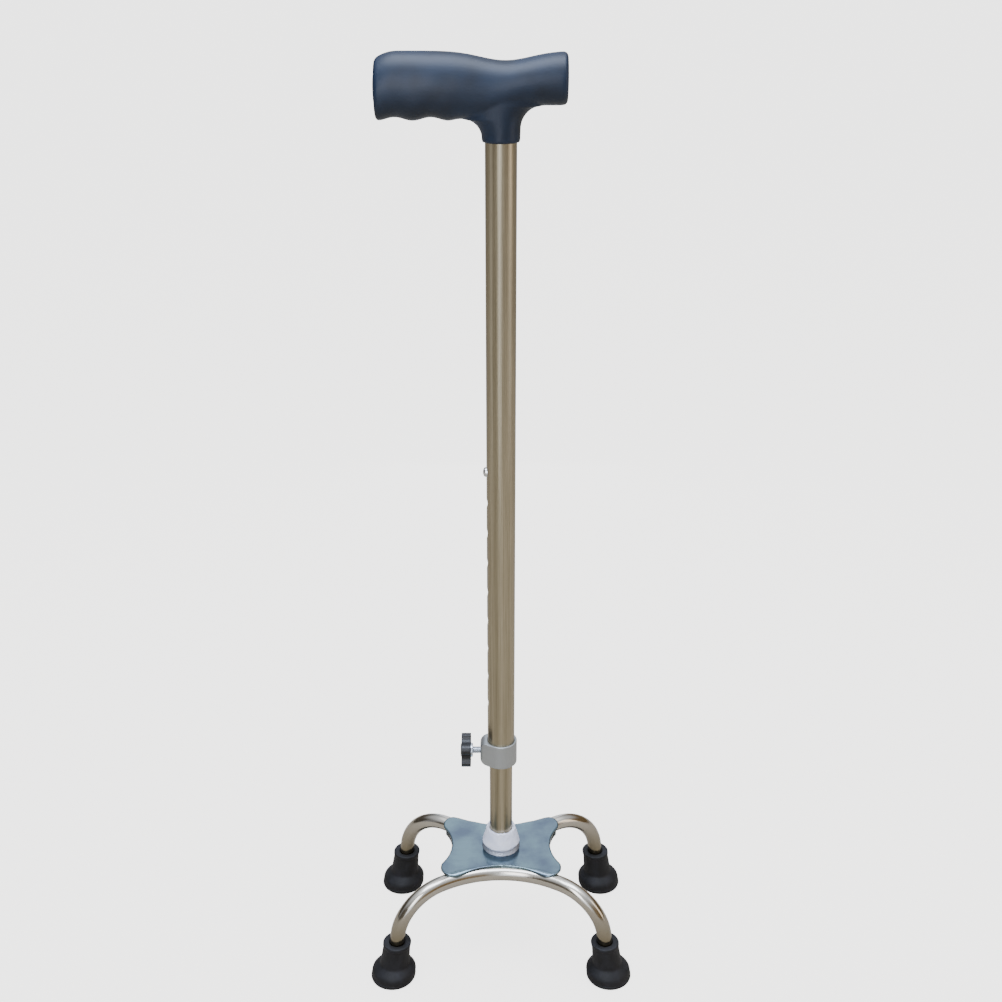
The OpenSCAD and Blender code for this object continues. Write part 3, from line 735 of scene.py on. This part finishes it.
def build_knob():
    """The star knob, its insert and its screw."""
    low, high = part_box("knob")
    mid_z = (low.z + high.z) / 2
    boss_radius = 5.6 * MM
    boss = lathe([(0, 0), (boss_radius, 0), (boss_radius, 0.6 * MM), (4.9 * MM, 1 * MM),
                  (0, 1.1 * MM)], 48)
    star = joined([cad_copy("knob"), along_minus_x(boss, low.x + 0.4 * MM, mid_z)])
    knob = finish_piece(star, "star_knob", "knob", moulded_black_nylon(), ["knob"])
    melt(knob, voxel=0.36 * MM, rounds=6)
    bright = plated_metal("bright_zinc_plating", colour("zinc"), 0.14, 0.3, 1.2 * MM)
    low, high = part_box("knob_insert")
    flange = (high.z - low.z) / 2
    bore, thick, edge = 3.05 * MM, 1.5 * MM, 0.4 * MM
    insert = lathe([(bore, 0), (flange - edge, 0), (flange, edge), (flange, thick),
                    (bore, thick)], 48, True)
    finish_piece(along_minus_x(insert, high.x, mid_z), "knob_flange", "knob", bright,
                 ["knob_insert"])
    low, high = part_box("knob_screw")
    radius = (high.z - low.z) / 2
    pitch = sizes().thread_pitch
    end = high.x - low.x
    root = radius - 0.6 * pitch
    thread = [(0, 0), (radius - 0.9 * pitch, 0)]
    for turn in range(int(end / pitch)):
        start = (turn + 0.1) * pitch
        thread += [(root, start), (radius, start + 0.4 * pitch),
                   (radius, start + 0.52 * pitch), (root, start + 0.88 * pitch)]
    thread += [(root, end), (0, end)]
    screw = along_minus_x(lathe(thread, 40), high.x, mid_z)
    finish_piece(screw, "clamp_screw", "knob", bright, ["knob_screw"], SHARP_COARSE)


# ---- base


def roughen(bm, size, depth, above=None):
    """Moves the surface above a height in and out, as on a weld run or a rough casting."""
    bm.normal_update()
    for vert in bm.verts:
        if above is None or vert.co.z > above:
            vert.co += vert.normal * noise.fractal(vert.co / size, 1.0, 2.0, 3) * depth


def build_socket():
    """The ferrule around the shaft's foot, with a rough weld run at its rim and foot."""
    low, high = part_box("shaft_socket")
    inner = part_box("inner_tube")
    bore = (inner[1].x - inner[0].x) / 2 + 0.05 * MM
    height = high.z - low.z
    belly = (high.x - low.x) / 2
    profile = [
        (bore, low.z + 0.2 * MM), (bore + 2.2 * MM, low.z),
        (belly - 0.5 * MM, low.z + 0.27 * height), (belly, low.z + 0.3 * height),
        (belly - 0.15 * MM, low.z + 0.34 * height), (bore + 2.6 * MM, high.z - 0.5 * MM),
        (bore + 2 * MM, high.z), (bore + 0.6 * MM, high.z - 0.3 * MM), (bore, high.z - 1.2 * MM)]
    bm = lathe(profile, 96, True)
    long_edges = [e for e in bm.edges if abs(e.verts[0].co.z - e.verts[1].co.z) > 2 * MM]
    bmesh.ops.subdivide_edges(bm, edges=long_edges, cuts=10, use_grid_fill=True)
    roughen(bm, size=3.5 * MM, depth=0.22 * MM)
    roughen(bm, size=1.4 * MM, depth=0.45 * MM, above=high.z - 2.5 * MM)
    finish_piece(bm, "socket_ferrule", "base", galvanised_ferrule(),
                 ["shaft_socket"], SHARP_COARSE)
    bead = welded_bead()
    welds = (("socket_weld", "ferrule_bead"), ("shaft_weld", "shaft_bead"),
             ("leg_welds", "leg_beads"))
    for node, name in welds:
        piece = finish_piece(cad_copy(node), name, "base", bead, [node])
        melt(piece, voxel=0.35 * MM, rounds=3)
        bm = bmesh.new()
        bm.from_mesh(piece.data)
        roughen(bm, size=1.6 * MM, depth=0.2 * MM)
        bm.to_mesh(piece.data)
        bm.free()


class LegPath:
    """A leg tube's bow and knee, worked out from the feet, the plate and the leg settings."""

    def __init__(self):
        size = sizes()
        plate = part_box("base_plate")
        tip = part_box("front_left_tip")
        self.radius = size.leg_radius
        self.splay, self.lean = size.leg_splay, size.leg_lean
        foot_radius = (tip[1].y - tip[0].y) / 2
        self.foot = Vector((tip[1].x - foot_radius, tip[1].y - foot_radius, 0))
        self.z = plate[1].z - size.plate_thickness - self.radius
        self.run = Vector((math.cos(self.splay), math.sin(self.splay), 0))
        self.drop = Vector((math.sin(self.lean), 0, -math.cos(self.lean)))
        self.knee = Vector((self.foot.x - self.z * math.tan(self.lean), self.foot.y, self.z))
        self.turn = self.run.angle(self.drop)
        self.knee_run = (self.z - size.tip_height - size.leg_show) / math.cos(self.lean)
        self.knee_radius = self.knee_run / math.tan(self.turn / 2)
        reach = self.knee.x / math.cos(self.splay)
        self.bow_radius = (reach - self.knee_run - size.leg_straight) / math.tan(self.splay)
        corner_y = self.foot.y - self.knee.x * math.tan(self.splay)
        self.bow_y = corner_y + self.bow_radius / math.cos(self.splay)

    def centre_y(self, x):
        """Y of the tube's centre line at x, on its level stretch."""
        x = abs(x)
        if x < self.bow_radius * math.sin(self.splay):
            return self.bow_y - math.sqrt(self.bow_radius**2 - x * x)
        return self.foot.y - (self.knee.x - x) * math.tan(self.splay)


def half_leg_tube(path):
    """Half a leg tube.

    A ring is spun round the bow, pushed along, spun down the knee and pushed to the foot.
    """
    bm = bmesh.new()
    middle = (0, path.bow_y - path.bow_radius, path.z)
    start = Matrix.Translation(middle) @ Matrix.Rotation(math.pi / 2, 4, "Y")
    ring = bmesh.ops.create_circle(bm, segments=40, radius=path.radius, matrix=start)["verts"]
    edges = list({e for v in ring for e in v.link_edges})

    def last(result, key="geom_last"):
        return [g for g in result[key] if isinstance(g, bmesh.types.BMEdge)]

    def pushed(edges, place):
        edges = last(bmesh.ops.extrude_edge_only(bm, edges=edges), "geom")
        moved = list({v for e in edges for v in e.verts})
        here = sum((v.co for v in moved), Vector()) / len(moved)
        bmesh.ops.translate(bm, verts=moved, vec=place - here)
        return edges

    edges = last(bmesh.ops.spin(bm, geom=edges, cent=(0, path.bow_y, path.z), axis=(0, 0, 1),
                                angle=path.splay, steps=16))
    knee_start = path.knee - path.knee_run * path.run
    edges = pushed(edges, knee_start)
    axis = path.run.cross(path.drop).normalized()
    centre = knee_start + axis.cross(path.run) * path.knee_radius
    edges = last(bmesh.ops.spin(bm, geom=edges, cent=centre, axis=axis, angle=path.turn, steps=28))
    end_height = 8 * MM  # inside the rubber tip
    end = path.knee + path.drop * (path.knee.z - end_height) / math.cos(path.lean)
    edges = pushed(edges, end)
    bmesh.ops.holes_fill(bm, edges=edges)
    return bm


def build_legs():
    """Both bent leg tubes."""
    path = LegPath()
    chrome = chromed_leg()
    tubes = (("left_leg_tube", "left_legs", 1), ("right_leg_tube", "right_legs", -1))
    for node, name, side in tubes:
        bm = half_leg_tube(path)
        everything = bm.verts[:] + bm.edges[:] + bm.faces[:]
        bmesh.ops.mirror(bm, geom=everything, axis="X", merge_dist=1e-5)
        bmesh.ops.remove_doubles(bm, verts=bm.verts, dist=1e-5)
        bmesh.ops.scale(bm, vec=(1, side, 1), verts=bm.verts)
        bmesh.ops.recalc_face_normals(bm, faces=bm.faces)
        finish_piece(bm, name, "base", chrome, [node])


def build_plate():
    """The stamped plate: its arm tips are pressed down over the leg tubes."""
    path = LegPath()
    plate = finish_piece(cad_copy("base_plate"), "stamped_plate", "base",
                         blue_passivated_plate(), ["base_plate"])
    melt(plate, voxel=0.6 * MM, rounds=4)
    arm_start, arm_end, ease = 20 * MM, 40 * MM, 10 * MM
    for vert in plate.data.vertices:
        x, y = abs(vert.co.x), abs(vert.co.y)
        over = (y - path.centre_y(x)) * math.cos(path.splay * min(1, x / arm_end))
        if x > arm_start and over > 0:
            over = min(over, 0.85 * path.radius)
            press = path.radius - math.sqrt(path.radius**2 - over**2)
            vert.co.z -= press * smooth_step((x - arm_start) / ease)
    smooth_shading(plate, SHARP_COARSE)


def build_tips():
    """The rubber tips: a ribbed sole, a wide flange and a lipped neck that leans with the leg."""
    size = sizes()
    rubber = moulded_rubber()
    leg = size.leg_radius
    neck = leg + size.tip_wall
    for node in ("front_left_tip", "front_right_tip", "rear_left_tip", "rear_right_tip"):
        low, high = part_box(node)
        foot = (high.y - low.y) / 2
        top = high.z - low.z - 1 * MM
        groove = 1.2 * MM
        seat = 7 * MM
        sole = [(0, groove)]
        for r in (4 * MM, 8 * MM, 12 * MM):
            sole += [(r, groove), (r + 0.4 * MM, 0), (r + 2.4 * MM, 0), (r + 2.8 * MM, groove)]
        wall = [
            (foot - 1.4 * MM, 0), (foot - 0.4 * MM, 0.4 * MM), (foot, 1.4 * MM), (foot, 3.2 * MM),
            (foot - 0.25 * MM, 3.5 * MM), (foot - 0.25 * MM, 7.2 * MM), (foot - 0.6 * MM, 8.6 * MM),
            (foot - 1.5 * MM, 10 * MM), (foot - 2.9 * MM, 11.4 * MM), (neck + 3.2 * MM, 13.2 * MM),
            (neck + 2.1 * MM, 14.1 * MM), (neck + 1.5 * MM, 15 * MM), (neck + 1.3 * MM, 16.2 * MM),
            (neck + 0.3 * MM, top - 4.2 * MM), (neck + 0.4 * MM, top - 3.6 * MM),
            (neck + 0.8 * MM, top - 3 * MM), (neck + 0.9 * MM, top - 1 * MM),
            (neck + 0.6 * MM, top - 0.3 * MM), (neck, top), (leg + 0.7 * MM, top - 0.2 * MM),
            (leg + 0.05 * MM, top - 1 * MM), (leg + 0.05 * MM, seat), (0, seat)]
        bm = lathe(sole + wall, 80)
        side = 1 if high.x > 0 else -1
        middle_x = (high.x - foot) if side > 0 else (low.x + foot)
        middle_y = (low.y + high.y) / 2
        slant = math.tan(size.leg_lean)
        for vert in bm.verts:
            lift = max(0, vert.co.z)
            vert.co.x += middle_x - side * slant * lift
            vert.co.y += middle_y
        finish_piece(bm, node.replace("_tip", "_rubber_foot"), "base", rubber, [node])


def paint_hidden_pieces():
    """CAD nodes that stay as they are get their real material."""
    nylon = natural_nylon()
    zinc = plated_metal("zinc_washer", colour("zinc"), 0.2, 0.35, 2 * MM)
    for node, material in (("glide_bush", nylon), ("clamp_pad", nylon), ("tip_washers", zinc)):
        for slot in frame["nodes"][node].material_slots:
            slot.material = material


# ---- stage


def studio_world():
    """A room for the metal to mirror: dark left, warm right, bright in front and above."""
    backdrop = 3.4  # what the camera sees; more than this frays the outlines of dark pieces
    world = bpy.data.worlds.new("studio")
    bpy.context.scene.world = world
    world.use_nodes = True
    tree = world.node_tree
    tree.nodes.clear()
    coords = add(tree, "ShaderNodeTexCoord").outputs["Generated"]
    split = add(tree, "ShaderNodeSeparateXYZ", {"Vector": coords})
    across = add(tree, "ShaderNodeMapRange", {
        "Value": split.outputs["X"], "From Min": -1, "From Max": 1})
    walls = add(tree, "ShaderNodeValToRGB", {"Fac": across.outputs["Result"]}, [
        (0.0, linear("#54504A")), (0.3, linear("#77726A")), (0.4, linear("#B9C6D6")),
        (0.52, linear("#F0F6FF")), (0.62, linear("#9A8F80")), (0.8, linear("#8F7A5A")),
        (1.0, linear("#7A6648"))])
    depth = add(tree, "ShaderNodeMapRange", {
        "Value": split.outputs["Y"], "From Min": -0.8, "From Max": 0.8,
        "To Min": 1.15, "To Max": 0.75})
    room = add(tree, "ShaderNodeVectorMath", {
        0: walls.outputs["Color"], 1: depth.outputs["Result"]}, operation="MULTIPLY")
    upright = add(tree, "ShaderNodeMapRange", {
        "Value": split.outputs["Z"], "From Min": 0.3, "From Max": 0.75},
        interpolation_type="SMOOTHSTEP")
    above = add(tree, "ShaderNodeMix", {
        "Factor": upright.outputs["Result"], "A": room.outputs["Vector"], "B": linear("#EAF1FF")},
        data_type="RGBA")
    # brighter straight above, for a broad gloss along the leg tubes
    zenith = add(tree, "ShaderNodeMapRange", {
        "Value": split.outputs["Z"], "From Min": 0.72, "From Max": 0.94,
        "To Min": 1.0, "To Max": 2.6},
        interpolation_type="SMOOTHSTEP")
    lit = add(tree, "ShaderNodeBackground", {
        "Color": above.outputs["Result"], "Strength": zenith.outputs["Result"]})
    white = add(tree, "ShaderNodeBackground", {"Color": linear("#FFFFFF"), "Strength": backdrop})
    seen = add(tree, "ShaderNodeLightPath").outputs["Is Camera Ray"]
    mix = add(tree, "ShaderNodeMixShader", {
        "Fac": seen, 1: lit.outputs["Background"], 2: white.outputs["Background"]})
    add(tree, "ShaderNodeOutputWorld", {"Surface": mix.outputs["Shader"]})


def soft_light(name, place, aim, size, power, tint):
    """A rectangular softbox at place, turned to aim."""
    data = bpy.data.lights.new(name, "AREA")
    data.shape = "RECTANGLE"
    data.size, data.size_y = size
    data.energy = power
    data.color = linear(tint)[:3]
    light = linked(name, data)
    light.location = place
    light.rotation_euler = (Vector(aim) - Vector(place)).to_track_quat("-Z", "Y").to_euler()


def pale_floor():
    """Matt paper, lit from below as on a light table, so that it stays even to the horizon."""
    floor_glow = 2.8
    material, tree = new_material("pale_floor")[:2]
    seen = add(tree, "ShaderNodeLightPath").outputs["Is Camera Ray"]
    glow = add(tree, "ShaderNodeMath", {0: seen, 1: floor_glow}, operation="MULTIPLY")
    shader = add(tree, "ShaderNodeBsdfPrincipled", {
        "Base Color": colour("floor"), "Roughness": 0.9, "Emission Color": linear("#FFFFFF"),
        "Emission Strength": glow.outputs["Value"]})
    add(tree, "ShaderNodeOutputMaterial", {"Surface": shader.outputs["BSDF"]})
    return material


def build_stage():
    """Floor, lights and camera."""
    bm = bmesh.new()
    bmesh.ops.create_grid(bm, x_segments=1, y_segments=1, size=60)
    floor = mesh_object(bm, "floor", pale_floor())
    floor.location.z = -0.2 * MM
    studio_world()
    soft_light("overhead", (0, -0.25, 2.2), (0, 0, 0), (1.6, 1.0), 46, "#DCE8FF")
    soft_light("front", (-0.5, -1.9, 1.3), (0, 0, 0.4), (0.7, 1.4), 16, "#F4F7FF")
    soft_light("warm_side", (1.9, -0.6, 0.9), (0, 0, 0.35), (0.6, 1.4), 5, "#FFE9CC")
    # tall softboxes around the shaft, each mirrored in it as a light streak
    streaks = (("streak_front", 100, 2.8), ("streak_left", 165, 0.4), ("streak_right", 20, 1.0),
               ("streak_back", -90, 1.8))
    distance, height = 1.15, 0.62
    for name, turn, power in streaks:
        around = math.radians(turn)
        place = (distance * math.cos(around), -distance * math.sin(around), height)
        soft_light(name, place, (0, 0, height), (0.42, 1.2), power, "#E2EBFF")
    camera = linked("camera", bpy.data.cameras.new("camera"))
    camera.data.lens = 44.8
    camera.data.sensor_width = 36
    camera.data.dof.use_dof = False
    camera.data.clip_start = 0.01
    camera.location = (0.0, -0.878, 0.785)
    camera.rotation_euler = (math.radians(90 - 23), 0, 0)
    bpy.context.scene.camera = camera


# ---- operators


class CANE_OT_grip(bpy.types.Operator):
    """Build the moulded grip and its end disc"""

    bl_idname = "cane.grip"
    bl_label = "Grip"

    def execute(self, context):
        build_grip()
        return {"FINISHED"}


class CANE_OT_shaft(bpy.types.Operator):
    """Build the two shaft tubes with their holes"""

    bl_idname = "cane.shaft"
    bl_label = "Shaft tubes"

    def execute(self, context):
        build_shaft()
        return {"FINISHED"}


class CANE_OT_button(bpy.types.Operator):
    """Build the snap button and its leaf spring"""

    bl_idname = "cane.button"
    bl_label = "Snap button"

    def execute(self, context):
        build_button()
        return {"FINISHED"}


class CANE_OT_clamp(bpy.types.Operator):
    """Build the cast clamp collar"""

    bl_idname = "cane.clamp"
    bl_label = "Clamp collar"

    def execute(self, context):
        build_clamp()
        return {"FINISHED"}


class CANE_OT_knob(bpy.types.Operator):
    """Build the star knob with its insert and screw"""

    bl_idname = "cane.knob"
    bl_label = "Knob and screw"

    def execute(self, context):
        build_knob()
        return {"FINISHED"}


class CANE_OT_socket(bpy.types.Operator):
    """Build the shaft socket and the weld beads"""

    bl_idname = "cane.socket"
    bl_label = "Socket and welds"

    def execute(self, context):
        build_socket()
        return {"FINISHED"}


class CANE_OT_plate(bpy.types.Operator):
    """Build the stamped base plate"""

    bl_idname = "cane.plate"
    bl_label = "Base plate"

    def execute(self, context):
        build_plate()
        return {"FINISHED"}


class CANE_OT_legs(bpy.types.Operator):
    """Build the bent leg tubes"""

    bl_idname = "cane.legs"
    bl_label = "Leg tubes"

    def execute(self, context):
        build_legs()
        return {"FINISHED"}


class CANE_OT_tips(bpy.types.Operator):
    """Build the rubber tips"""

    bl_idname = "cane.tips"
    bl_label = "Rubber tips"

    def execute(self, context):
        build_tips()
        return {"FINISHED"}


class CANE_OT_hidden(bpy.types.Operator):
    """Give the carried-over CAD pieces their materials"""

    bl_idname = "cane.hidden"
    bl_label = "Inner pieces"

    def execute(self, context):
        paint_hidden_pieces()
        return {"FINISHED"}


class CANE_OT_stage(bpy.types.Operator):
    """Build the floor, the lights and the camera"""

    bl_idname = "cane.stage"
    bl_label = "Stage"

    def execute(self, context):
        build_stage()
        return {"FINISHED"}


OPERATORS = (CANE_OT_stage, CANE_OT_grip, CANE_OT_shaft, CANE_OT_button, CANE_OT_clamp,
             CANE_OT_knob, CANE_OT_socket, CANE_OT_plate, CANE_OT_legs, CANE_OT_tips,
             CANE_OT_hidden)


class CANE_PT_panel(bpy.types.Panel):
    """Lists the cane's builders"""

    bl_idname = "CANE_PT_panel"
    bl_label = "Quad walking cane"
    bl_space_type = "VIEW_3D"
    bl_region_type = "UI"
    bl_category = "Cane"

    def draw(self, context):
        for operator in OPERATORS:
            self.layout.operator(operator.bl_idname)


CLASSES = (CaneSizes, CaneColours) + OPERATORS + (CANE_PT_panel,)


def register():
    """Registers the add-on's classes and settings."""
    for cls in CLASSES:
        bpy.utils.register_class(cls)
    bpy.types.Scene.cane_sizes = PointerProperty(type=CaneSizes)
    bpy.types.Scene.cane_colours = PointerProperty(type=CaneColours)


def unregister():
    """Takes the add-on's classes and settings away."""
    del bpy.types.Scene.cane_colours
    del bpy.types.Scene.cane_sizes
    for cls in reversed(CLASSES):
        bpy.utils.unregister_class(cls)


def main():
    """Builds everything in order."""
    register()
    for operator in OPERATORS:
        group, name = operator.bl_idname.split(".")
        getattr(getattr(bpy.ops, group), name)()


if __name__ == "__main__":
    main()
